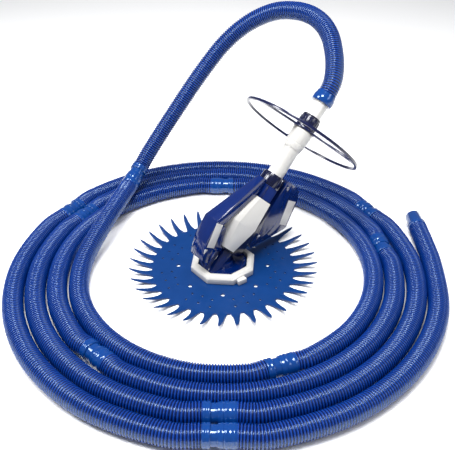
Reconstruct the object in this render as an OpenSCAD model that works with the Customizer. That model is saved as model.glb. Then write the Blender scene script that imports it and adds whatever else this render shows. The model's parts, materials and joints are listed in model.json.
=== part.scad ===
/* [Disc] */
// Diameter over the fin tips
disc_d = 434; // [340:2:540]
// Diameter of the flat disc at the fin roots
disc_root_d = 330; // [260:2:420]
// Thickness of the flat disc
disc_t = 4; // [3:0.5:6]
// Number of fins
fin_count = 36; // [24:2:44]
// How far the fins tilt up
fin_lift = 18; // [5:1:30]
// Sideways hook of a fin's tip
fin_hook = 8; // [0:0.5:12]
// Thickness of a fin
fin_t = 3.4; // [2.4:0.2:5]
// Width of a fin at its root
fin_root_w = 26; // [16:1:27]
// Width of a fin at its tip
fin_tip_w = 2; // [1:0.5:10]

/* [Foot] */
// Diameter of the rubber foot pad
pad_d = 124; // [110:1:150]
// Height of the foot pad
pad_h = 9; // [7:0.5:14]
// Diameter of the suction mouth
mouth_d = 46; // [38:1:54]
// Across flats of the lock ring, outside
ring_af = 142; // [134:1:170]
// Across flats of the lock ring, inside
ring_bore_af = 111; // [108:1:118]
// Height of the lock ring
ring_h = 19; // [12:1:24]

/* [Body] */
// Lean of the body from the vertical
lean = 45; // [35:1:50]
// Height of the lean axis above the disc centre
pivot_z = 34; // [32:1:40]
// Inner diameter of the diaphragm chamber
chamber_d = 53; // [49:0.5:58]
// Wall of the covers and wing shells
wall = 3; // [2:0.5:4]
// Half width of a wing
wing_hw = 21; // [17:0.5:26]
// Top of the body shells along the lean axis
body_top = 158; // [150:1:170]
// Diameter of the neck collar
neck_d = 51; // [47:1:56]
// Diameter of the lock nut over its ribs
nut_d = 54; // [50:1:58]

/* [Pipes] */
// Outer diameter of the inner pipe
inner_pipe_d = 39; // [34:0.5:42]
// Largest diameter of the outer pipe
outer_pipe_d = 51; // [48:0.5:56]
// Outer diameter of the hose spigot on the outer pipe
spigot_d = 37; // [34:0.5:40]
// Wall of both pipes
pipe_wall = 2.4; // [1.8:0.1:3.2]
// Where the outer pipe starts along the lean axis
outer_pipe_s = 290; // [270:1:300]
// Telescopic travel of the outer pipe
pipe_travel = 20; // [10:1:24]

/* [Wheel] */
// Diameter of the deflector wheel
wheel_d = 296; // [240:2:340]
// Section width of the wheel's rim
rim_w = 6; // [4:0.5:12]
// Section height of the wheel's rim
rim_h = 5.5; // [4:0.5:14]
// How far the hub stands above the rim
wheel_dish = 12; // [6:1:18]
// Number of spokes
spoke_count = 3; // [3:1:6]

/* [Hose] */
// Outer diameter of the hose
hose_d = 44; // [34:0.5:44.5]
// Outer diameter of a female hose cuff
cuff_d = 45; // [42:0.5:45]
// Outer diameter of a male spigot
male_d = 38; // [34:0.5:39]
// Bore through the cuffs
cuff_bore = 32; // [26:0.5:33]

/* [Hidden] */
$fn = 64;
gap = 0.4;               // clearance between bodies that turn or slide
seat = 0.1;              // clearance of pieces that stay seated in each other
eps = 0.5;               // overshoot of cuts
octagon = 1 / cos(22.5); // circumradius of an octagon for an apothem of 1

// ---------- colours ----------
royal = [0.08, 0.2, 0.62];
navy = [0.05, 0.08, 0.3];
white = [0.94, 0.94, 0.92];
rubber_blue = [0.12, 0.28, 0.64];
black = [0.08, 0.08, 0.1];

// ---------- lean frame: +Z runs up the pipe, +X towards the underside ----------
module lean_frame() {
    translate([0, 0, pivot_z]) rotate([0, lean, 0]) children();
}

module tube(r_out, r_in, s0, s1) {
    translate([0, 0, s0]) difference() {
        cylinder(r = r_out, h = s1 - s0);
        translate([0, 0, -eps]) cylinder(r = r_in, h = s1 - s0 + 2 * eps);
    }
}

// ---------- disc ----------
ring_z = disc_t + 1;
disc_hole_r = pad_d / 2 + 1;
fin_root_r = disc_root_d / 2 - 5;
fin_len = (disc_d / 2 - fin_root_r) / cos(fin_lift);
// Each row is a share of the fin's length and the place of its two edges, hooking clockwise.
fin_shape = [[0, 0.48, -0.5], [0.12, 0.37, -0.44], [0.2, 0.31, -0.37], [0.32, 0.255, -0.285],
    [0.5, 0.22, -0.225], [0.7, 0.19, -0.185], [0.88, 0.14, -0.13], [1, 0.04, -0.04]];
function hook(t) = -fin_hook * pow(t, 1.6);
fin_outline = concat(
    [for (row = fin_shape) [fin_len * row[0], hook(row[0]) + fin_root_w * row[1]]],
    [[fin_len, hook(1) - fin_tip_w / 2]],
    [for (i = [len(fin_shape) - 1 : -1 : 0]) let (row = fin_shape[i])
        if (row[0] < 1) [fin_len * row[0], hook(row[0]) + fin_root_w * row[2]]]);
large_hole_d = 9;
small_hole_d = 5;
cluster_count = 8;
cluster_turn = -152.5;
row_turn = 11.5;
hole_rows = [[-1, 120], [-1, 143], [0, 117], [0, 140], [1, 122], [1, 145]];

module finned_disc() {
    color(rubber_blue) {
        linear_extrude(disc_t) difference() {
            circle(d = disc_root_d, $fn = 144);
            circle(r = disc_hole_r, $fn = 96);
            for (k = [0 : cluster_count - 1]) rotate(cluster_turn + k * 360 / cluster_count) {
                for (h = hole_rows) rotate(h[0] * row_turn)
                    translate([h[1] * disc_root_d / 330, 0]) circle(d = small_hole_d, $fn = 16);
                rotate(180 / cluster_count) translate([104 * disc_root_d / 330, 0])
                    circle(d = large_hole_d, $fn = 20);
            }
        }
        for (k = [0 : fin_count - 1]) rotate([0, 0, k * 360 / fin_count])
            translate([fin_root_r, 0, disc_t - fin_t / cos(fin_lift)]) rotate([0, -fin_lift, 0])
                linear_extrude(fin_t) polygon(fin_outline);
    }
}

// ---------- foot ----------
housing_r = ring_bore_af / 2 - 2.5;
throat_r = inner_pipe_d / 2 - 3.5;
socket_r = throat_r + 3;
socket_s = 14;
pad_screw_r = 44;
pad_screw_d = 4;
groove_w = 8;

module foot_pad() {
    color(rubber_blue) difference() {
        cylinder(d = pad_d, h = pad_h, $fn = 96);
        translate([0, 0, -eps]) cylinder(d = mouth_d, h = pad_h + 2 * eps);
        for (k = [0 : 3]) rotate([0, 0, k * 90]) translate([mouth_d / 2 - 4, -groove_w / 2, -eps])
            cube([pad_d / 2 - mouth_d / 2 - 4, groove_w, 3 + eps]);
        for (k = [0 : 3]) rotate([0, 0, 45 + k * 90]) translate([pad_screw_r, 0, -eps])
            cylinder(d = pad_screw_d + 2 * seat, h = pad_h + 2 * eps, $fn = 24);
        for (k = [0 : 3]) rotate([0, 0, 45 + k * 90]) translate([pad_screw_r, 0, -eps])
            cylinder(d = pad_screw_d + 4 + 2 * seat, h = 3 + eps, $fn = 24);
    }
}

module foot_housing() {
    plate_top = pad_h + 4;
    color(navy) difference() {
        union() {
            translate([0, 0, pad_h]) cylinder(r = housing_r, h = 4, $fn = 96);
            translate([0, 0, plate_top - 1]) difference() {
                cylinder(r = housing_r, h = 9, $fn = 96);
                translate([0, 0, -1]) cylinder(r1 = housing_r - 11, r2 = housing_r - 2, h = 11, $fn = 96);
            }
            translate([0, 0, plate_top - 1]) cylinder(r1 = mouth_d / 2 + 4, r2 = mouth_d / 2, h = 12);
            intersection() {
                lean_frame() translate([0, 0, -60]) cylinder(r = socket_r, h = 60 + socket_s);
                cylinder(r = housing_r - 1, h = 200);
            }
        }
        translate([0, 0, -eps]) cylinder(r = mouth_d / 2 - 3, h = plate_top + 8 + eps);
        translate([0, 0, -80 + pad_h]) cube([300, 300, 160], center = true);
        lean_frame() translate([0, 0, -50]) cylinder(r = throat_r - pipe_wall, h = 60);
        lean_frame() translate([0, 0, -4]) cylinder(r = throat_r + seat, h = socket_s + 10);
        for (k = [0 : 3]) rotate([0, 0, 45 + k * 90]) translate([pad_screw_r, 0, pad_h - eps])
            cylinder(d = pad_screw_d + 2 * seat, h = 3 + eps, $fn = 24);
    }
}

module pad_screws() {
    color(black) for (k = [0 : 3]) rotate([0, 0, 45 + k * 90]) translate([pad_screw_r, 0, 1]) {
        cylinder(d = pad_screw_d + 4, h = 2, $fn = 24);
        cylinder(d = pad_screw_d, h = pad_h + 1.5, $fn = 24);
    }
}

// The ring's tab sits on the near side, where a thumb turns it.
module lock_ring() {
    tab_w = 22;
    color(white) translate([0, 0, ring_z]) {
        difference() {
            rotate([0, 0, 22.5]) {
                cylinder(r = ring_af / 2 * octagon, h = ring_h - 6, $fn = 8);
                translate([0, 0, ring_h - 6]) cylinder(r1 = ring_af / 2 * octagon,
                    r2 = (ring_af / 2 - 6) * octagon, h = 6, $fn = 8);
            }
            translate([0, 0, -eps]) rotate([0, 0, 22.5])
                cylinder(r = ring_bore_af / 2 * octagon, h = ring_h + 2 * eps, $fn = 8);
            translate([0, 0, -eps]) cylinder(r = pad_d / 2 + gap, h = pad_h - ring_z + gap + eps, $fn = 96);
        }
        rotate([0, 0, -97]) translate([ring_af / 2 - 2, -tab_w / 2, 0]) cube([13, tab_w, ring_h - 7]);
        rotate([0, 0, 83]) translate([ring_af / 2 - 2, -tab_w / 2, 0]) cube([7, tab_w, ring_h - 7]);
    }
}

// ---------- flow tubes ----------
throat_s = 34;

module throat_tube() {
    color(navy) lean_frame() tube(throat_r, throat_r - pipe_wall, -4, throat_s);
}

// ---------- body: stations along the lean axis as [s, ridge, mid b, mid y, edge b, edge y] ----------
cassette_s0 = 40;
cassette_s1 = 140;
cassette_r = chamber_d / 2 - seat;
spacer_h = 5;
neck_sleeve_r = neck_d / 2 - 0.6;
stations = [[20, 44, 35, 22, 16, 33], [85, 69, 52, 29, 4, 43],
    [body_top - 2, 31, 26, 22, -5, 31.5]];
core_back = 33;

function flank(t) = [[-t[1], 0], [-t[1], 3], [-t[2], t[3]], [-t[4], t[5]], [12, 0]];
function flank_inside(t, inset) = [[-(t[1] - inset), -1], [-(t[1] - inset), 3], [-(t[2] - inset), t[3] - inset],
    [-t[4], t[5] - inset], [30, t[5] - inset], [30, -1]];

module half_slab(t, inset, s) {
    translate([0, 0, s]) linear_extrude(0.01) polygon(inset == 0 ? flank(t) : flank_inside(t, inset));
}

module cover_solid(inset, s0, s1) {
    hull() {
        half_slab(stations[0], inset, s0);
        half_slab(stations[1], inset, stations[1][0]);
        half_slab(stations[2], inset, s1);
    }
}

// side = 1 is +Y, side = -1 is -Y
module cover(side) {
    color(white) lean_frame() mirror([0, side < 0 ? 1 : 0, 0]) translate([0, seat / 2, 0]) difference() {
        cover_solid(0, stations[0][0], body_top - 2);
        cover_solid(wall, stations[0][0] - 4, body_top + 2);
    }
}

module core_slab(s, front, half_y, back) {
    translate([0, 0, s]) linear_extrude(0.01)
        polygon([[-front, 0], [-front, half_y * 0.2], [-front * 0.5, half_y * 0.72], [-2, half_y],
            [back * 0.6, half_y], [back, half_y * 0.5], [back, 0]]);
}

module body_shell(side) {
    color(navy) lean_frame() mirror([0, side < 0 ? 1 : 0, 0]) translate([0, seat / 2, 0]) difference() {
        hull() {
            core_slab(socket_s + 1, 30, 27, 28);
            core_slab(85, 60, 38, core_back);
            core_slab(body_top - 6, 26, 26.5, core_back - 4);
        }
        translate([0, 0, throat_s]) cylinder(d = chamber_d, h = cassette_s1 + spacer_h + seat - throat_s);
        translate([0, 0, throat_s]) cylinder(r = neck_sleeve_r + seat, h = body_top);
        translate([0, 0, -1]) cylinder(r = throat_r + seat, h = body_top);
        cutter_s = stations[0][0] - 6;
        difference() {
            translate([-90, -1, cutter_s]) cube([94 + 1, 80, body_top]);
            cover_solid(wall + 0.3, cutter_s, body_top + 4);
        }
    }
}

// ---------- diaphragm cassette ----------

module cassette_housing() {
    color(white) lean_frame() difference() {
        tube(cassette_r, cassette_r - 3, cassette_s0, cassette_s1);
        for (k = [0 : 3]) rotate([0, 0, 45 + 90 * k]) translate([0, -6, cassette_s0 + 30])
            cube([cassette_r + eps, 12, 40]);
    }
}

// A rubber sleeve that pinches at its middle as the flow pulses.
module diaphragm() {
    r = cassette_r - 3 - seat;
    color(black) lean_frame() rotate_extrude() polygon([[r, cassette_s0 + 2], [r, cassette_s0 + 8],
        [r - 7, cassette_s0 + 40], [r - 7, cassette_s1 - 40], [r, cassette_s1 - 8], [r, cassette_s1 - 2],
        [r - 3, cassette_s1 - 2], [r - 3, cassette_s1 - 9], [r - 10, cassette_s1 - 41],
        [r - 10, cassette_s0 + 41], [r - 3, cassette_s0 + 9], [r - 3, cassette_s0 + 2]]);
}

module diaphragm_retainer() {
    color(white) lean_frame() difference() {
        tube(cassette_r, throat_r - pipe_wall, throat_s, cassette_s0);
        translate([0, 0, throat_s - eps]) cylinder(r = throat_r - pipe_wall + 1, h = 2 + eps);
    }
}

module cassette_spacer() {
    color(white) lean_frame() tube(cassette_r, inner_pipe_d / 2 - pipe_wall, cassette_s1, cassette_s1 + spacer_h);
}

// ---------- neck, nut and pipes ----------
neck_s0 = body_top;
neck_s1 = neck_s0 + 32;
nut_s0 = neck_s1;
nut_s1 = nut_s0 + 29;
inner_pipe_s0 = cassette_s1 + spacer_h;

module neck_collar() {
    color(royal) lean_frame() {
        tube(neck_d / 2, inner_pipe_d / 2 + 3.5, neck_s0, neck_s1 - 10);
        tube(neck_d / 2, inner_pipe_d / 2 + seat, neck_s1 - 10, neck_s1);
        tube(neck_sleeve_r, inner_pipe_d / 2 + 3.5, neck_s0 - 8, neck_s0);
        for (a = [-142, 142, 0]) rotate([0, 0, a]) translate([neck_d / 2 - 1, -3, neck_s0])
            cube([2.2, 6, neck_s1 - neck_s0 - 2]);
    }
}

module neck_seal() {
    color(black) lean_frame() tube(inner_pipe_d / 2 + 3.4, inner_pipe_d / 2 + seat, neck_s1 - 16, neck_s1 - 10.2);
}

module lock_nut() {
    ribs = 18;
    color(navy) lean_frame() {
        tube(nut_d / 2 - 1.6, inner_pipe_d / 2 + gap, nut_s0 + gap, nut_s1);
        for (k = [0 : ribs - 1]) rotate([0, 0, k * 360 / ribs])
            translate([nut_d / 2 - 2.2, -1.7, nut_s0 + 3]) cube([2.2, 3.4, nut_s1 - nut_s0 - 5]);
    }
}

module inner_pipe() {
    color(white) lean_frame()
        tube(inner_pipe_d / 2, inner_pipe_d / 2 - pipe_wall, inner_pipe_s0, outer_pipe_s + 42 - pipe_travel);
}

outer_r = outer_pipe_d / 2;
barrel_r = outer_r - 2;
mouth_r = inner_pipe_d / 2 + 1.4;
barrel_top = outer_pipe_s + 48;
spigot_r = spigot_d / 2;
spigot_top = barrel_top + 97;
exit_s = spigot_top + 4.2;   // where the hose starts
cuff_top = exit_s - 0.8;     // the end of the pipe's cuff
flow_r = spigot_r - pipe_wall;

guide_r = inner_pipe_d / 2 + 2.2;

module outer_pipe() {
    s = outer_pipe_s;
    bore = inner_pipe_d / 2 + gap + 0.1;
    color(white) lean_frame() difference() {
        rotate_extrude($fn = 96) polygon([[bore, s], [mouth_r, s], [barrel_r, s + 12], [barrel_r, s + 14],
            [barrel_r - 0.6, s + 14.5], [barrel_r - 0.6, s + 15.5], [barrel_r, s + 16],
            [outer_r, barrel_top - 2], [outer_r - 1, barrel_top], [spigot_r, barrel_top],
            [spigot_r, spigot_top], [flow_r, spigot_top], [flow_r, barrel_top],
            [bore, barrel_top - 5]]);
        translate([0, 0, s + 8]) tube_groove();
    }
}

// The groove inside the outer pipe that holds the guide ring.
module tube_groove() {
    cylinder(r = guide_r, h = 6);
}

module pipe_guide_ring() {
    color(black) lean_frame() tube(guide_r - 0.05, inner_pipe_d / 2 + 0.05,
        outer_pipe_s + 8.3, outer_pipe_s + 13.7);
}

// ---------- deflector wheel ----------
hub_s0 = barrel_top + 1.5;
hub_s1 = hub_s0 + 33;
hub_r = 24;
flange_r = 27;
rim_s = hub_s0 + 3 - wheel_dish;
wheel_r = wheel_d / 2;
spoke_w = 15;
spoke_turn = 45;

module wheel_hub() {
    ribs = 16;
    color(navy) lean_frame() {
        tube(hub_r - 1.2, spigot_r + gap, hub_s0, hub_s1);
        for (k = [0 : ribs - 1]) rotate([0, 0, k * 360 / ribs])
            translate([hub_r - 2, -1.5, hub_s0 + 6]) cube([2, 3, hub_s1 - hub_s0 - 9]);
    }
}

module wheel_rim() {
    reach = wheel_r - rim_w / 2 - flange_r + 4;
    drop = atan(wheel_dish / reach);
    color(navy) lean_frame() {
        rotate_extrude($fn = 128) translate([wheel_r - rim_w, rim_s - rim_h / 2]) square([rim_w, rim_h]);
        difference() {
            union() {
                tube(flange_r, hub_r - 1.2 + seat, hub_s0, hub_s0 + 5);
                for (k = [0 : spoke_count - 1]) rotate([0, 0, spoke_turn + k * 360 / spoke_count])
                    translate([flange_r - 4, 0, hub_s0 + 3]) rotate([0, drop, 0])
                        translate([0, 0, -2]) linear_extrude(4) polygon([[0, -spoke_w / 2],
                            [reach * 0.55, -spoke_w * 0.45], [reach, -spoke_w * 0.9],
                            [reach, spoke_w * 0.9], [reach * 0.55, spoke_w * 0.45], [0, spoke_w / 2]]);
            }
            translate([0, 0, hub_s0 - 10]) cylinder(r = hub_r - 1.2 + seat, h = 30);
        }
    }
}

module wheel_clip() {
    color(navy) lean_frame() tube(spigot_r + 4, spigot_r, hub_s1 + 1, hub_s1 + 4);
}

// ---------- wings: outlines in the side plane as [x, s], x grows towards the underside ----------
// The front wing's sections as [s, edge b, ridge b, half width as a share, inner b].
front_sections = [[197, 40, 43, 0.46, 12], [61, 106, 110, 1, 82], [13, 100, 104, 1, 72], [-30, 78, 81, 1, 54]];
front_web = [[-76, 60], [-70, 4], [-46, 3], [-34, 9], [-38, 15], [-47, 17], [-50, 26], [-63, 58]];
front_strip = [[-105.5, 57.5], [-84.5, 60.5], [-67.5, 6], [-89.5, 1]];
front_chip = [[-91, -5], [-82, -3], [-86, -15]];
rear_outline = [[29.5, 224], [84, 226], [103, 198], [122, 134], [118, 127], [92, 97], [46, 47], [33.6, 52],
    [33.6, 92], [29.5, 160]];
rear_pocket = [[33.5, 220], [81, 222], [99.5, 196], [118, 134], [115, 128], [90, 100], [48, 54], [37, 56],
    [37, 92], [33.5, 160]];
rear_strip = [[71, 190], [99, 197], [116.5, 136], [92, 131]];
insert_t = 1.6;
recess = 1;
wing_screw_spots = [[42, 210], [46, 80]];

module side_prism(outline, half_y) {
    translate([0, half_y, 0]) rotate([90, 0, 0]) linear_extrude(2 * half_y) polygon(outline);
}

module insert_seat(outline, side) {
    translate([0, side > 0 ? wing_hw + eps : -wing_hw + recess, 0]) rotate([90, 0, 0])
        linear_extrude(recess + eps) offset(delta = seat) polygon(outline);
}

module insert(outline, side) {
    color(white) lean_frame() translate([0, side > 0 ? wing_hw - recess + insert_t : -wing_hw + recess, 0])
        rotate([90, 0, 0]) linear_extrude(insert_t) polygon(outline);
}

module front_insert(side) {
    insert(front_strip, side);
    insert(front_chip, side);
}

// A slab across the wing. Inset makes it the hollow's section, which is open towards the body.
module wing_slab(t, inset, s) {
    hw = wing_hw * t[3] - inset;
    inner = inset == 0 ? -t[4] : 20 - t[4];
    translate([0, 0, s]) linear_extrude(0.01) polygon([[inner, -hw], [inset - t[1], -hw], [inset - t[2], 0],
        [inset - t[1], hw], [inner, hw]]);
}

module wing_body(inset, s_top, s_bottom) {
    f = front_sections;
    for (i = [0 : 2]) hull() {
        wing_slab(f[i], inset, i == 0 ? s_top : f[i][0]);
        wing_slab(f[i + 1], inset, i == 2 ? s_bottom : f[i + 1][0]);
    }
}

module front_wing() {
    web_y = wing_hw - 5.5;
    color(royal) lean_frame() difference() {
        union() {
            difference() {
                wing_body(0, front_sections[0][0], front_sections[3][0]);
                wing_body(wall, front_sections[0][0] - 22, front_sections[3][0] + 3);
            }
            for (y = [-web_y, web_y]) translate([0, y, 0]) side_prism(front_web, 1.5);
            for (y = [-1, 1]) translate([0, y * (wing_hw - wall - 1.6), 0])
                side_prism([[-79, 60], [-72, 6], [-68, 6], [-75, 60]], 3.6);
        }
        for (side = [-1, 1]) insert_seat(front_strip, side);
        for (side = [-1, 1]) insert_seat(front_chip, side);
        translate([0, 0, neck_s0 - 4]) cylinder(r = nut_d / 2 + 0.8, h = 60);
        cylinder(r = 31, h = 40);
    }
}

module rear_wing() {
    color(royal) lean_frame() difference() {
        side_prism(rear_outline, wing_hw);
        side_prism(rear_pocket, wing_hw - wall);
        for (side = [-1, 1]) insert_seat(rear_strip, side);
        translate([0, 0, nut_s0 - 4]) cylinder(r = nut_d / 2 + 1.5, h = 60);
        for (p = wing_screw_spots) translate([p[0], 0, p[1]]) rotate([90, 0, 0])
            cylinder(d = 4 + 2 * seat, h = 2 * wing_hw + 2 * eps, center = true, $fn = 24);
    }
}

module wing_screws() {
    color(black) lean_frame() for (p = wing_screw_spots) translate([p[0], 0, p[1]]) {
        rotate([90, 0, 0]) cylinder(d = 4, h = 2 * wing_hw + 2, center = true, $fn = 24);
        for (side = [-1, 1]) translate([0, side * (wing_hw + 1.1), 0]) rotate([90, 0, 0])
            cylinder(d = 8, h = 2, center = true, $fn = 24);
    }
}

// ---------- hose route, chosen by hand; the coil's turns follow from a loop ----------
lay_z = 22.5;                // height of the laid hose's centre line, so that its cuffs touch the floor
arch_route = [[310, 0, 344], [331, 5, 365], [354, 22, 389], [378, 50, 415], [399, 84, 439], [413, 125, 457],
    [418, 170, 466], [414, 215, 466], [398, 265, 457], [372, 308, 435], [338, 340, 404], [298, 361, 365],
    [252, 371, 319], [205, 375, 273], [155, 377, 223], [104, 379, 171], [60, 379, 126]];
first_joint = [2, 365, 81];
first_aim = [-0.832, -0.361, -0.421];
landing = [[-64, 324, 67], [-143, 270, 57], [-207, 228, 42], [-262, 184, 28]];
tail = [[401, -271, lay_z], [449, -215, lay_z]];
tail_aim = [0.64, 0.768375, 0];
coil_at = [-16, -14];
coil_r = 320;                // radius where the coil starts
coil_pitch = 46;             // growth of the radius over one turn
coil_start = 140;            // bearing of the coil's start
coil_step = 20;              // bearing between two points of the route
joint_turns = [110, 270, 410, 550, 690, 810, 930, 1050, 1170];
last_turn = 1260;
half_joint = 30;             // from a joint's centre to the end of either hose

exit_at = [exit_s * sin(lean), 0, pivot_z + exit_s * cos(lean)];
arch_n = len(arch_route);
// The arch follows its pipe: the whole of the pipe's shift at the pipe, none of it at the first joint.
arch = [for (i = [0 : arch_n - 1]) arch_route[i] + (1 - i / arch_n) * (exit_at - arch_route[0])];

function coil_point(a) = let (r = coil_r + coil_pitch * a / 360, b = coil_start + a)
    [coil_at[0] + r * cos(b), coil_at[1] + r * sin(b), lay_z];
function unit(v) = v / norm(v);
function joint_mid(a) = (coil_point(a - coil_step / 2) + coil_point(a + coil_step / 2)) / 2;
function joint_aim(a) = unit(coil_point(a + coil_step / 2) - coil_point(a - coil_step / 2));
joints = concat([[first_joint, unit(first_aim)]], [for (a = joint_turns) [joint_mid(a), joint_aim(a)]]);
function coil_run(a0, a1) = [for (a = [a0 : coil_step : a1]) coil_point(a)];
function after(j) = joints[j][0] + half_joint * joints[j][1];
function before(j) = joints[j][0] - half_joint * joints[j][1];
function section(k) =
    k == 0 ? concat(arch, [before(0)]) :
    k == 1 ? concat([after(0)], landing, coil_run(20, joint_turns[0] - 10), [before(1)]) :
    k == 10 ? concat([after(9)], coil_run(joint_turns[8] + 10, last_turn), tail) :
    concat([after(k - 1)], coil_run(joint_turns[k - 2] + 10, joint_turns[k - 1] - 10), [before(k)]);

sides = 8;
function aim_at(p, i, first, last) = i == 0 ? first : i == len(p) - 1 ? last
    : unit(unit(p[i + 1] - p[i]) + unit(p[i] - p[i - 1]));
function ring_at(c, t, r) = let (u = unit(cross(t, [0, 0, 1])), w = cross(u, t))
    [for (k = [0 : sides - 1]) let (a = (k + 0.5) * 360 / sides) c + r * (cos(a) * u + sin(a) * w)];

module swept(p, first, last, r) {
    n = len(p);
    points = [for (i = [0 : n - 1]) each ring_at(p[i], aim_at(p, i, first, last), r)];
    walls = [for (i = [0 : n - 2], k = [0 : sides - 1]) let (m = (k + 1) % sides)
        [i * sides + k, i * sides + m, (i + 1) * sides + m, (i + 1) * sides + k]];
    ends = [[for (k = [sides - 1 : -1 : 0]) k], [for (k = [0 : sides - 1]) (n - 1) * sides + k]];
    polyhedron(points = points, faces = [for (f = concat(walls, ends)) [for (k = [len(f) - 1 : -1 : 0]) f[k]]]);
}

function first_dir(k) = k == 0 ? [sin(lean), 0, cos(lean)] : joints[k - 1][1];
function last_dir(k) = k == 10 ? tail_aim : joints[k][1];

module hose(k) {
    color(royal) swept(section(k), first_dir(k), last_dir(k), hose_d / 2);
}

module along(c, t) {
    translate(c) rotate([0, acos(t[2]), atan2(t[1], t[0])]) children();
}

module female_cuff() {
    color(royal) rotate_extrude() polygon([[male_d / 2 + seat, -3], [cuff_d / 2 - 1.9, -3], [cuff_d / 2 - 0.4, 5],
        [cuff_d / 2 - 1, 6], [cuff_d / 2 - 1, 8], [cuff_d / 2, 9.5], [cuff_d / 2, 26], [cuff_d / 2 - 1.5, half_joint],
        [cuff_bore / 2, half_joint], [cuff_bore / 2, 14], [male_d / 2 + seat, 14]]);
}

module male_cuff(length) {
    color(royal) rotate_extrude() polygon([[cuff_bore / 2, -half_joint], [cuff_d / 2 - 1.5, -half_joint],
        [cuff_d / 2 - 0.3, 4 - half_joint], [cuff_d / 2 - 0.3, 14 - half_joint], [cuff_d / 2 - 1, 15 - half_joint],
        [male_d / 2, 15 - half_joint], [male_d / 2, length - half_joint], [cuff_bore / 2, length - half_joint]]);
}

module female_cuffs() {
    for (j = joints) along(j[0], j[1]) female_cuff();
}

module male_cuffs() {
    for (j = joints) along(j[0], j[1]) male_cuff(half_joint + 13.8);
}

module hose_end_cuff() {
    along(tail[1] + half_joint * tail_aim, tail_aim) male_cuff(52);
}

module pipe_cuff() {
    s0 = spigot_top - 22;
    s1 = cuff_top;
    color(royal) lean_frame() rotate_extrude() polygon([[spigot_r + 0.05, s0], [spigot_r + 5.5, s0],
        [spigot_r + 7, s0 + 3], [spigot_r + 7, s0 + 15], [spigot_r + 5, s0 + 19], [spigot_r + 5, s1],
        [cuff_bore / 2, s1], [cuff_bore / 2, spigot_top + 0.2], [spigot_r + 0.05, spigot_top + 0.2]]);
}

finned_disc();
foot_pad();
foot_housing();
lock_ring();
throat_tube();
body_shell(-1);  // left_body_shell
body_shell(1);  // right_body_shell
cover(-1);  // left_cover
cover(1);  // right_cover
front_wing();
rear_wing();
front_insert(-1);  // front_insert_left
front_insert(1);  // front_insert_right
insert(rear_strip, -1);  // rear_insert_left
insert(rear_strip, 1);  // rear_insert_right
cassette_housing();
diaphragm();
diaphragm_retainer();
cassette_spacer();
neck_collar();
neck_seal();
lock_nut();
inner_pipe();
outer_pipe();
pipe_guide_ring();
wheel_hub();
wheel_rim();
wheel_clip();
wing_screws();
pad_screws();
pipe_cuff();
female_cuffs();
male_cuffs();
hose_end_cuff();
hose(0);  // hose_01
hose(1);  // hose_02
hose(2);  // hose_03
hose(3);  // hose_04
hose(4);  // hose_05
hose(5);  // hose_06
hose(6);  // hose_07
hose(7);  // hose_08
hose(8);  // hose_09
hose(9);  // hose_10
hose(10);  // hose_11
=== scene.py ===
"""Pool cleaner with its coiled hose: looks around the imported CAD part. All lengths are in metres."""
import json
import math

import bmesh
import bpy
from mathutils import Matrix, Vector

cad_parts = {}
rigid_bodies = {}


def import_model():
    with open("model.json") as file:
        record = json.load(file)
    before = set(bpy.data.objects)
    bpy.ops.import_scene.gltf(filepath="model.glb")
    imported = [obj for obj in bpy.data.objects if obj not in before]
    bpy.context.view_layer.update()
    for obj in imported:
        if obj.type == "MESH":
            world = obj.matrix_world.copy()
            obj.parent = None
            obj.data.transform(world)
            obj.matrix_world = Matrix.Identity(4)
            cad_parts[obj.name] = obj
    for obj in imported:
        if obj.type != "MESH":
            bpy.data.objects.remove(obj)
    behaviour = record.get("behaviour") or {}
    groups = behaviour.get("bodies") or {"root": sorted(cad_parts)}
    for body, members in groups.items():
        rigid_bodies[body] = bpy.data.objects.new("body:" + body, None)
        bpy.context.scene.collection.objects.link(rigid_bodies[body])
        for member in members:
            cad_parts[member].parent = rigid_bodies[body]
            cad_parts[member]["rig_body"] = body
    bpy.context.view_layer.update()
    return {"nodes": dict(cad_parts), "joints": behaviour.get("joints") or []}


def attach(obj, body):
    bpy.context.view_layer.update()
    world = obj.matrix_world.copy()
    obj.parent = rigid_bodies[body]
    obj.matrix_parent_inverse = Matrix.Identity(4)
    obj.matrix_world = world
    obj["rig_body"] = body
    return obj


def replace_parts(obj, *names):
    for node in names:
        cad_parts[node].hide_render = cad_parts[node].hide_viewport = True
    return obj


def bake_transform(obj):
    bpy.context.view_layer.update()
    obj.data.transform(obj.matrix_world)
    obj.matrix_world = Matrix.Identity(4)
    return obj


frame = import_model()
NODES = frame["nodes"]
JOINTS = {j["name"]: j for j in frame["joints"]}

# ---------- camera: the photograph's view ----------
CAM_AT = Vector((-0.7277, -0.8828, 0.910))
CAM_AIM = Vector((0.5286, 0.6297, -0.5690))
cam_data = bpy.data.cameras.new("camera")
cam_data.sensor_width = 36
cam_data.lens = 49.41
camera = bpy.data.objects.new("camera", cam_data)
bpy.context.scene.collection.objects.link(camera)
camera.location = CAM_AT
camera.rotation_euler = CAM_AIM.to_track_quat("-Z", "Y").to_euler()
bpy.context.scene.camera = camera

LEAN_AXIS = Vector(JOINTS["pipe_slide"]["axis"]).normalized()   # the line of the body and pipes

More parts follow.
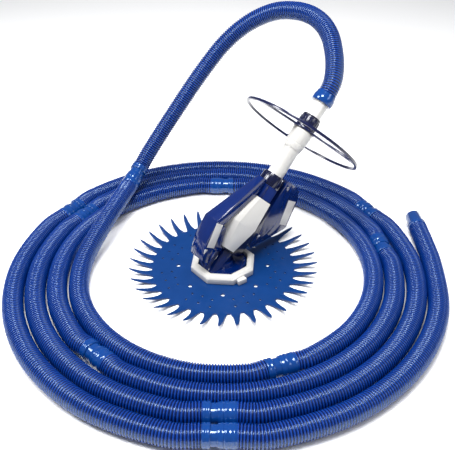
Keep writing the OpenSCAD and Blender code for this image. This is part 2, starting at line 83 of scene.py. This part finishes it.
# ---------- hose: the same route as the CAD's --------------------
LAY_Z = 0.0225   # height of the laid hose's centre line
ARCH = [(0.31056, 0, 0.34456), (0.331, 0.005, 0.365), (0.354, 0.022, 0.389), (0.378, 0.050, 0.415),
        (0.399, 0.084, 0.439), (0.413, 0.125, 0.457), (0.418, 0.170, 0.466), (0.414, 0.215, 0.466),
        (0.398, 0.265, 0.457), (0.372, 0.308, 0.435), (0.338, 0.340, 0.404), (0.298, 0.361, 0.365),
        (0.252, 0.371, 0.319), (0.205, 0.375, 0.273), (0.155, 0.377, 0.223), (0.104, 0.379, 0.171),
        (0.060, 0.379, 0.126)]
FIRST_JOINT = (0.002, 0.365, 0.081)
FIRST_AIM = Vector((-0.832, -0.361, -0.421)).normalized()
LANDING = [(-0.064, 0.324, 0.067), (-0.143, 0.270, 0.057), (-0.207, 0.228, 0.042), (-0.262, 0.184, 0.028)]
TAIL = [(0.401, -0.271, LAY_Z), (0.449, -0.215, LAY_Z)]
TAIL_AIM = Vector((0.64, 0.768375, 0)).normalized()
COIL_AT = (-0.016, -0.014)
COIL_R, COIL_PITCH, COIL_START, COIL_STEP = 0.320, 0.046, 140, 20
JOINT_TURNS = [110, 270, 410, 550, 690, 810, 930, 1050, 1170]
LAST_TURN = 1260
HALF_JOINT = 0.030
RIB_PITCH = 0.0057
SIDES = 28


def coil_point(a):
    r, b = COIL_R + COIL_PITCH * a / 360, math.radians(COIL_START + a)
    return Vector((COIL_AT[0] + r * math.cos(b), COIL_AT[1] + r * math.sin(b), LAY_Z))


def coil_run(a0, a1):
    return [coil_point(a) for a in range(a0, a1 + 1, COIL_STEP)]


def joint_frame(a):
    p, q = coil_point(a - COIL_STEP / 2), coil_point(a + COIL_STEP / 2)
    return (p + q) / 2, (q - p).normalized()


joints = [(Vector(FIRST_JOINT), FIRST_AIM)] + [joint_frame(a) for a in JOINT_TURNS]


def after(j):
    return joints[j][0] + HALF_JOINT * joints[j][1]


def before(j):
    return joints[j][0] - HALF_JOINT * joints[j][1]


def section(k):
    if k == 0:
        return [Vector(p) for p in ARCH] + [before(0)]
    if k == 1:
        return ([after(0)] + [Vector(p) for p in LANDING] + coil_run(20, JOINT_TURNS[0] - 10) + [before(1)])
    if k == 10:
        return [after(9)] + coil_run(JOINT_TURNS[8] + 10, LAST_TURN) + [Vector(p) for p in TAIL]
    return [after(k - 1)] + coil_run(JOINT_TURNS[k - 2] + 10, JOINT_TURNS[k - 1] - 10) + [before(k)]


def smooth_path(points, first, last, step):
    """A centripetal spline through the points, then evenly spaced."""
    pts = [points[0] - first * 0.03] + points + [points[-1] + last * 0.03]
    dense = []
    for i in range(1, len(pts) - 2):
        p0, p1, p2, p3 = pts[i - 1:i + 3]
        d1, d2, d3 = ((b - a).length ** 0.5 for a, b in ((p0, p1), (p1, p2), (p2, p3)))
        m1 = (p1 - p0) / d1 - (p2 - p0) / (d1 + d2) + (p2 - p1) / d2
        m2 = (p2 - p1) / d2 - (p3 - p1) / (d2 + d3) + (p3 - p2) / d3
        m1, m2 = m1 * d2, m2 * d2
        for k in range(24):
            t = k / 24
            dense.append((2 * t**3 - 3 * t**2 + 1) * p1 + (t**3 - 2 * t**2 + t) * m1
                         + (-2 * t**3 + 3 * t**2) * p2 + (t**3 - t**2) * m2)
    dense.append(pts[-2])
    total = [0.0]
    for a, b in zip(dense, dense[1:]):
        total.append(total[-1] + (b - a).length)
    n = max(2, round(total[-1] / step))
    out, j = [], 0
    for i in range(n + 1):
        want = total[-1] * i / n
        while j < len(total) - 2 and total[j + 1] < want:
            j += 1
        f = (want - total[j]) / max(1e-9, total[j + 1] - total[j])
        out.append(dense[j].lerp(dense[j + 1], f))
    return out, total[-1]


def mesh_object(name, verts, faces, smooth=True, sharp=35):
    mesh = bpy.data.meshes.new(name)
    mesh.from_pydata([tuple(v) for v in verts], [], faces)
    mesh.validate()
    bm = bmesh.new()
    bm.from_mesh(mesh)
    bmesh.ops.recalc_face_normals(bm, faces=bm.faces)
    bm.to_mesh(mesh)
    bm.free()
    obj = bpy.data.objects.new(name, mesh)
    bpy.context.scene.collection.objects.link(obj)
    if smooth:
        mesh.shade_smooth()
        if sharp:
            mesh.set_sharp_from_angle(angle=math.radians(sharp))
    return obj


def tube_rings(path, profile_at, sides):
    """Rings along a path with parallel-carried axes. profile_at(i) gives the radius of ring i."""
    verts, n = [], len(path)
    t = (path[1] - path[0]).normalized()
    u = t.cross(Vector((0, 0, 1))).normalized()
    for i, c in enumerate(path):
        new = (path[min(n - 1, i + 1)] - path[max(0, i - 1)]).normalized()
        u = (u - new * u.dot(new)).normalized()
        w = new.cross(u)
        r = profile_at(i)
        for k in range(sides):
            a = 2 * math.pi * k / sides
            verts.append(c + r * (math.cos(a) * u + math.sin(a) * w))
    faces = []
    for i in range(n - 1):
        for k in range(sides):
            m = (k + 1) % sides
            faces.append((i * sides + k, (i + 1) * sides + k, (i + 1) * sides + m, i * sides + m))
    faces.append(tuple(range(sides)))
    faces.append(tuple((n - 1) * sides + k for k in reversed(range(sides))))
    return verts, faces


RIB_PROFILE = (0.0216, 0.0220, 0.0216, 0.0200, 0.0190, 0.0200)
# Per ring of a rib: 1 keeps the hose colour on the crests, 0 mixes in painted shade deep in the grooves.
RIB_UNSHADED = (0.75, 1.0, 0.75, 0.15, 0.0, 0.15)


def corrugated(k):
    """One hose section with real ribs. Returns the piece, its path and its length."""
    first = LEAN_AXIS if k == 0 else joints[k - 1][1]
    last = TAIL_AIM if k == 10 else joints[k][1]
    step = RIB_PITCH / len(RIB_PROFILE)
    path, length = smooth_path(section(k), first, last, step)
    verts, faces = tube_rings(path, lambda i: RIB_PROFILE[i % len(RIB_PROFILE)], SIDES)
    obj = mesh_object(f"hose_section_{k + 1:02d}", verts, faces, sharp=0)
    # Each vertex carries how much of the painted groove shade it leaves out: 1 on crests, 0 in grooves.
    unshaded = obj.data.attributes.new("rib_unshaded", "FLOAT", "POINT")
    unshaded.data.foreach_set("value", [RIB_UNSHADED[(i // SIDES) % len(RIB_UNSHADED)] for i in range(len(verts))])
    return obj, path, length


def lathe(name, profile, segments=64, sharp=32):
    """Turns a closed outline of (radius, height) about Z."""
    verts, faces, n = [], [], len(profile)
    for i in range(segments):
        a = 2 * math.pi * i / segments
        verts += [(r * math.cos(a), r * math.sin(a), z) for r, z in profile]
    for i in range(segments):
        j = (i + 1) % segments
        for k in range(n):
            m = (k + 1) % n
            faces.append((i * n + k, j * n + k, j * n + m, i * n + m))
    return mesh_object(name, verts, faces, sharp=sharp)


def place(obj, at, aim):
    """Stands obj's Z axis along aim at a point, and keeps that in its mesh."""
    obj.data.transform(Matrix.Translation(at) @ aim.to_track_quat("Z", "Y").to_matrix().to_4x4())
    return obj


# ---------- materials ----------
def finish(name, color, rough, metal=0.0, coat=0.0, grain=0.03, scale=40, bump=0.0, bump_scale=300,
           spec=0.5):
    """A plastic, rubber or metal finish with slight mottling, uneven gloss and fine relief."""
    m = bpy.data.materials.new(name)
    m.use_nodes = True
    nt = m.node_tree
    b = nt.nodes["Principled BSDF"]
    b.inputs["Metallic"].default_value = metal
    b.inputs["Coat Weight"].default_value = coat
    b.inputs["Coat Roughness"].default_value = 0.08
    b.inputs["Specular IOR Level"].default_value = spec
    where = nt.nodes.new("ShaderNodeTexCoord")
    noise = nt.nodes.new("ShaderNodeTexNoise")
    noise.inputs["Scale"].default_value = scale
    noise.inputs["Detail"].default_value = 5
    nt.links.new(where.outputs["Object"], noise.inputs["Vector"])
    ramp = nt.nodes.new("ShaderNodeValToRGB")
    ramp.color_ramp.elements[0].position = 0.3
    ramp.color_ramp.elements[1].position = 0.7
    low = [max(0.0, c * (1 - grain * 2)) for c in color]
    high = [min(1.0, c * (1 + grain)) for c in color]
    ramp.color_ramp.elements[0].color = (*low, 1)
    ramp.color_ramp.elements[1].color = (*high, 1)
    nt.links.new(noise.outputs["Fac"], ramp.inputs["Fac"])
    nt.links.new(ramp.outputs["Color"], b.inputs["Base Color"])
    gloss = nt.nodes.new("ShaderNodeMapRange")
    gloss.inputs["To Min"].default_value = max(0.02, rough * 0.85)
    gloss.inputs["To Max"].default_value = min(1, rough * 1.2)
    nt.links.new(noise.outputs["Fac"], gloss.inputs["Value"])
    nt.links.new(gloss.outputs["Result"], b.inputs["Roughness"])
    if bump:
        fine = nt.nodes.new("ShaderNodeTexNoise")
        fine.inputs["Scale"].default_value = bump_scale
        fine.inputs["Detail"].default_value = 3
        nt.links.new(where.outputs["Object"], fine.inputs["Vector"])
        relief = nt.nodes.new("ShaderNodeBump")
        relief.inputs["Strength"].default_value = bump
        relief.inputs["Distance"].default_value = 0.0004
        nt.links.new(fine.outputs["Fac"], relief.inputs["Height"])
        nt.links.new(relief.outputs["Normal"], b.inputs["Normal"])
    return m


HOSE = finish("hose_blue", (0.0015, 0.040, 0.28), 0.24, grain=0.04, scale=18, spec=1.0)
CUFF = finish("cuff_blue", (0.001, 0.038, 0.20), 0.12, coat=0.3, grain=0.04, scale=20, spec=0.8)


def shade_ribs(m, groove_shade):
    """Paints shade into the hose's grooves and tints what it reflects."""
    nt = m.node_tree
    b = nt.nodes["Principled BSDF"]
    b.inputs["Specular Tint"].default_value = (0.62, 0.82, 1, 1)
    unshaded = nt.nodes.new("ShaderNodeAttribute")
    unshaded.attribute_name = "rib_unshaded"
    mix = nt.nodes.new("ShaderNodeMix")
    mix.data_type = "RGBA"
    mix.inputs[6].default_value = (*groove_shade, 1)
    nt.links.new(unshaded.outputs["Fac"], mix.inputs[0])
    nt.links.new(nt.nodes["Color Ramp"].outputs["Color"], mix.inputs[7])
    nt.links.new(mix.outputs[2], b.inputs["Base Color"])


# The dark colour below is painted shade for the hose grooves.
shade_ribs(HOSE, (0.0002, 0.002, 0.035))
CUFF.node_tree.nodes["Principled BSDF"].inputs["Specular Tint"].default_value = (0.6, 0.8, 1, 1)
ROYAL = finish("royal_plastic", (0.0005, 0.012, 0.100), 0.13, coat=0.4, grain=0.04, scale=25, bump=0.04)
NAVY = finish("navy_plastic", (0.0005, 0.003, 0.030), 0.18, coat=0.5, grain=0.05, scale=25, bump=0.05)
RIM = finish("rim_plastic", (0.003, 0.006, 0.045), 0.20, coat=0.4, grain=0.05, scale=25, bump=0.05)
WHITE = finish("white_plastic", (0.60, 0.59, 0.565), 0.24, coat=0.4, grain=0.012, scale=14, bump=0.04)
DISC = finish("disc_rubber", (0.001, 0.030, 0.140), 0.38, coat=0.03, grain=0.04, scale=30, bump=0.15,
              bump_scale=220, spec=0.3)
BLACK = finish("black_rubber", (0.012, 0.012, 0.014), 0.55, grain=0.1, scale=60, bump=0.3)
STEEL = finish("steel", (0.55, 0.55, 0.57), 0.30, metal=1.0, grain=0.04, scale=120, bump=0.2,
               bump_scale=600)


def dress(obj, material):
    obj.data.materials.clear()
    obj.data.materials.append(material)
    return obj


# ---------- hoses and cuffs ----------
hoses = []
for k in range(11):
    obj, path, length = corrugated(k)
    dress(obj, HOSE)
    hoses.append((obj, path, length))


def ribbed_female():
    """The female cuff: a flared lip, a smooth grip with a raised ring and a neck that takes the hose."""
    out = [(0.0191, -0.0030), (0.0203, -0.0030), (0.0207, -0.0024), (0.0216, 0.0030), (0.0221, 0.0050),
           (0.0220, 0.0060), (0.0213, 0.0068), (0.0213, 0.0080), (0.0221, 0.0092), (0.0225, 0.0102),
           (0.0225, 0.0125), (0.0221, 0.0136), (0.0218, 0.0150), (0.0218, 0.0225), (0.0224, 0.0236),
           (0.0224, 0.0262), (0.0217, 0.0276), (0.0212, HALF_JOINT)]
    return out + [(0.0160, HALF_JOINT), (0.0160, 0.0140), (0.0191, 0.0140)]


def ribbed_male(end):
    out = [(0.0208, -0.0300), (0.0217, -0.0292), (0.0222, -0.0280), (0.0222, -0.0252), (0.0216, -0.0240),
           (0.0216, -0.0215), (0.0222, -0.0204), (0.0222, -0.0172), (0.0215, -0.0160), (0.0205, -0.0152),
           (0.0190, -0.0150)]
    return out + [(0.0190, end - 0.0012), (0.0186, end), (0.0160, end), (0.0160, -0.0300)]


joint_pieces = []
for n, (at, aim) in enumerate(joints):
    f = place(lathe(f"female_cuff_{n + 1:02d}", ribbed_female(), 40), at, aim)
    m = place(lathe(f"male_cuff_{n + 1:02d}", ribbed_male(0.0138), 40), at, aim)
    dress(f, CUFF), dress(m, CUFF)
    joint_pieces.append((f, m))
end_at = Vector(TAIL[1]) + HALF_JOINT * TAIL_AIM
end_cuff = dress(place(lathe("end_cuff", ribbed_male(0.0220), 40), end_at, TAIL_AIM), CUFF)

for k, (obj, path, length) in enumerate(hoses):
    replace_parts(obj, f"hose_{k + 1:02d}")
    if k == 0:
        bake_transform(obj)
    else:
        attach(obj, "cleaner")
for f, m in joint_pieces:
    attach(f, "cleaner"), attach(m, "cleaner")
    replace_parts(f, "female_cuffs"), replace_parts(m, "male_cuffs")
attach(end_cuff, "cleaner")
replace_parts(end_cuff, "hose_end_cuff")


# ---------- CAD pieces with softened edges ----------
def softened(node, width, material):
    """A copy of a CAD node with its edges rounded, standing for that node."""
    obj = NODES[node].copy()
    obj.data = NODES[node].data.copy()
    obj.name = node + "_body"
    obj.parent = None
    for key in list(obj.keys()):
        del obj[key]
    bpy.context.scene.collection.objects.link(obj)
    bm = bmesh.new()
    bm.from_mesh(obj.data)
    bmesh.ops.remove_doubles(bm, verts=bm.verts, dist=2e-6)
    bmesh.ops.dissolve_limit(bm, angle_limit=math.radians(1.5), verts=bm.verts, edges=bm.edges,
                             delimit=set())
    bm.to_mesh(obj.data)
    bm.free()
    if width:
        mod = obj.modifiers.new("rounding", "BEVEL")
        mod.width = width
        mod.segments = 2
        mod.limit_method = "ANGLE"
        mod.angle_limit = math.radians(28)
        mod.harden_normals = False
    obj.data.shade_smooth()
    obj.data.set_sharp_from_angle(angle=math.radians(30))
    if width:
        deps = bpy.context.evaluated_depsgraph_get()
        mesh = bpy.data.meshes.new_from_object(obj.evaluated_get(deps))
        obj.modifiers.clear()
        obj.data = mesh
        obj.data.set_sharp_from_angle(angle=math.radians(38))
    dress(obj, material)
    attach(obj, NODES[node]["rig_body"])
    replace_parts(obj, node)
    return obj


# ---------- the disc, with its fins curled up ----------
DISC_T, DISC_ROOT_R, DISC_HOLE_R = 0.004, 0.165, 0.063
FIN_COUNT, FIN_R, FIN_LIFT, FIN_T, FIN_HOOK = 36, 0.160, 0.0176, 0.0034, 0.008
FIN_SPAN = 0.057
FIN_SHAPE = [(0, 12.5, -13), (0.12, 9.6, -11.4), (0.2, 8.1, -9.6), (0.32, 6.6, -7.4), (0.5, 5.7, -5.8),
             (0.7, 4.9, -4.8), (0.86, 3.8, -3.6), (0.95, 2.4, -2.3), (1, 0.7, -0.8)]
HOLE_ROWS = [(-1, 0.120), (-1, 0.143), (0, 0.117), (0, 0.140), (1, 0.122), (1, 0.145)]


def ring_spline(curve, x, y, r, n):
    spline = curve.splines.new("POLY")
    spline.points.add(n - 1)
    for i, q in enumerate(spline.points):
        a = 2 * math.pi * i / n
        q.co = (x + r * math.cos(a), y + r * math.sin(a), 0, 1)
    spline.use_cyclic_u = True


def disc_sheet():
    """The flat middle of the disc with its round holes, as a mesh."""
    curve = bpy.data.curves.new("sheet", "CURVE")
    curve.dimensions = "2D"
    curve.fill_mode = "BOTH"
    edge = 0.0005
    curve.extrude = DISC_T / 2 - edge
    curve.bevel_depth = edge
    curve.bevel_resolution = 1
    curve.offset = -edge
    ring_spline(curve, 0, 0, DISC_ROOT_R, 144)
    ring_spline(curve, 0, 0, DISC_HOLE_R, 96)
    for k in range(8):
        turn = math.radians(-152.5 + 45 * k)
        for step, r in HOLE_ROWS:
            a = turn + step * math.radians(11.5)
            ring_spline(curve, r * math.cos(a), r * math.sin(a), 0.0025, 20)
        a = turn + math.radians(22.5)
        ring_spline(curve, 0.104 * math.cos(a), 0.104 * math.sin(a), 0.0045, 24)
    obj = bpy.data.objects.new("sheet", curve)
    bpy.context.scene.collection.objects.link(obj)
    mesh = bpy.data.meshes.new_from_object(obj.evaluated_get(bpy.context.evaluated_depsgraph_get()))
    bpy.data.objects.remove(obj)
    verts = [(v.co.x, v.co.y, v.co.z + DISC_T / 2) for v in mesh.vertices]
    faces = [tuple(f.vertices) for f in mesh.polygons]
    return verts, faces


def fin_rows():
    """The fin's two edges at points along it, read between its drawn rows."""
    rows = []
    for i in range(len(FIN_SHAPE) - 1):
        (t0, a0, b0), (t1, a1, b1) = FIN_SHAPE[i], FIN_SHAPE[i + 1]
        for k in range(2):
            f = k / 2
            rows.append((t0 + (t1 - t0) * f, a0 + (a1 - a0) * f, b0 + (b1 - b0) * f))
    return rows + [FIN_SHAPE[-1]]


def curled_disc():
    verts, faces = disc_sheet()
    rows, across = fin_rows(), 6
    for k in range(FIN_COUNT):
        turn = math.radians(k * 360 / FIN_COUNT)
        c, d = math.cos(turn), math.sin(turn)
        first = len(verts)
        for t, left, right in rows:
            rise = FIN_LIFT * t ** 1.5
            thick = FIN_T * (1 - 0.5 * t)
            side = -FIN_HOOK * t ** 1.6
            ring = []
            for j in range(across + 1):
                f = j / across
                y = side + (right + (left - right) * f) / 1000
                crown = 0.0009 * (1 - (2 * f - 1) ** 2) * min(1, t * 3) * (1 - 0.6 * t)
                ring.append((y, rise + thick - 0.0007 * (1 if j in (0, across) else 0) + crown))
            for j in range(across, -1, -1):
                f = j / across
                ring.append((side + (right + (left - right) * f) / 1000, rise))
            x = FIN_R + FIN_SPAN * t
            for y, z in ring:
                z += DISC_T - FIN_T - 0.0002
                verts.append((x * c - y * d, x * d + y * c, z))
        n = 2 * (across + 1)
        for i in range(len(rows) - 1):
            for j in range(n):
                m = (j + 1) % n
                p = first + i * n
                faces.append((p + j, p + m, p + n + m, p + n + j))
        faces.append(tuple(first + j for j in reversed(range(n))))
        faces.append(tuple(first + (len(rows) - 1) * n + j for j in range(n)))
    return mesh_object("disc_with_fins", verts, faces, sharp=40)


disc = dress(curled_disc(), DISC)
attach(disc, "disc")
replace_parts(disc, "finned_disc")

for node, width, material in [
    ("foot_pad", 0.0008, DISC), ("foot_housing", 0.0008, ROYAL), ("lock_ring", 0.0012, WHITE),
    ("left_cover", 0.0010, WHITE), ("right_cover", 0.0010, WHITE),
    ("left_body_shell", 0.0006, NAVY), ("right_body_shell", 0.0006, NAVY),
    ("front_wing", 0.0014, ROYAL), ("rear_wing", 0.0014, ROYAL),
    ("front_insert_left", 0.0004, WHITE), ("front_insert_right", 0.0004, WHITE),
    ("rear_insert_left", 0.0004, WHITE), ("rear_insert_right", 0.0004, WHITE),
    ("neck_collar", 0.0006, ROYAL), ("lock_nut", 0.0005, NAVY),
    ("outer_pipe", 0.0004, WHITE), ("wheel_hub", 0.0004, NAVY), ("wheel_rim", 0.0008, RIM),
    ("wheel_clip", 0.0005, NAVY), ("pipe_cuff", 0.0006, CUFF), ("wing_screws", 0.0003, STEEL),
]:
    softened(node, width, material)
for node, material in [
    ("throat_tube", NAVY), ("cassette_housing", WHITE), ("diaphragm", BLACK),
    ("diaphragm_retainer", WHITE), ("cassette_spacer", WHITE), ("neck_seal", BLACK), ("inner_pipe", WHITE),
    ("pipe_guide_ring", BLACK), ("pad_screws", STEEL),
]:
    NODES[node].data.materials.clear()
    NODES[node].data.materials.append(material)
    NODES[node].data.shade_smooth()
    NODES[node].data.set_sharp_from_angle(angle=math.radians(35))

# ---------- floor and light ----------
floor_mat = bpy.data.materials.new("floor")
floor_mat.use_nodes = True
fb = floor_mat.node_tree.nodes["Principled BSDF"]
fb.inputs["Base Color"].default_value = (0.96, 0.96, 0.965, 1)
fb.inputs["Roughness"].default_value = 0.7
fb.inputs["Specular IOR Level"].default_value = 0.2
floor = mesh_object("floor", [(-6, -6, 0), (6, -6, 0), (6, 6, 0), (-6, 6, 0)], [(0, 1, 2, 3)], smooth=False)
floor.location.z = -0.0003
floor.data.materials.append(floor_mat)

world = bpy.data.worlds.new("studio")
bpy.context.scene.world = world
world.use_nodes = True
bg = world.node_tree.nodes["Background"]
bg.inputs["Color"].default_value = (0.95, 0.97, 1.0, 1)
bg.inputs["Strength"].default_value = 0.26


def softbox(name, at, aim_at, size, power, color=(1, 1, 1)):
    data = bpy.data.lights.new(name, "AREA")
    data.shape = "RECTANGLE"
    data.size, data.size_y = size
    data.energy = power
    data.color = color
    obj = bpy.data.objects.new(name, data)
    bpy.context.scene.collection.objects.link(obj)
    obj.location = at
    obj.rotation_euler = (Vector(aim_at) - Vector(at)).to_track_quat("-Z", "Y").to_euler()
    return obj


softbox("overhead", (0.1, 0.1, 2.7), (0.1, 0.1, 0), (2.8, 2.8), 84).visible_glossy = False
softbox("glint", (-0.5, -0.3, 2.3), (0, 0, 0), (0.7, 0.7), 40)
softbox("key", (-1.4, 0.9, 1.9), (0, 0, 0.1), (0.7, 0.7), 30)
softbox("fill", (1.0, -1.9, 1.5), (0, 0, 0.1), (1.2, 0.5), 8)

scene = bpy.context.scene
scene.view_settings.view_transform = "Standard"
scene.view_settings.exposure = 0.0
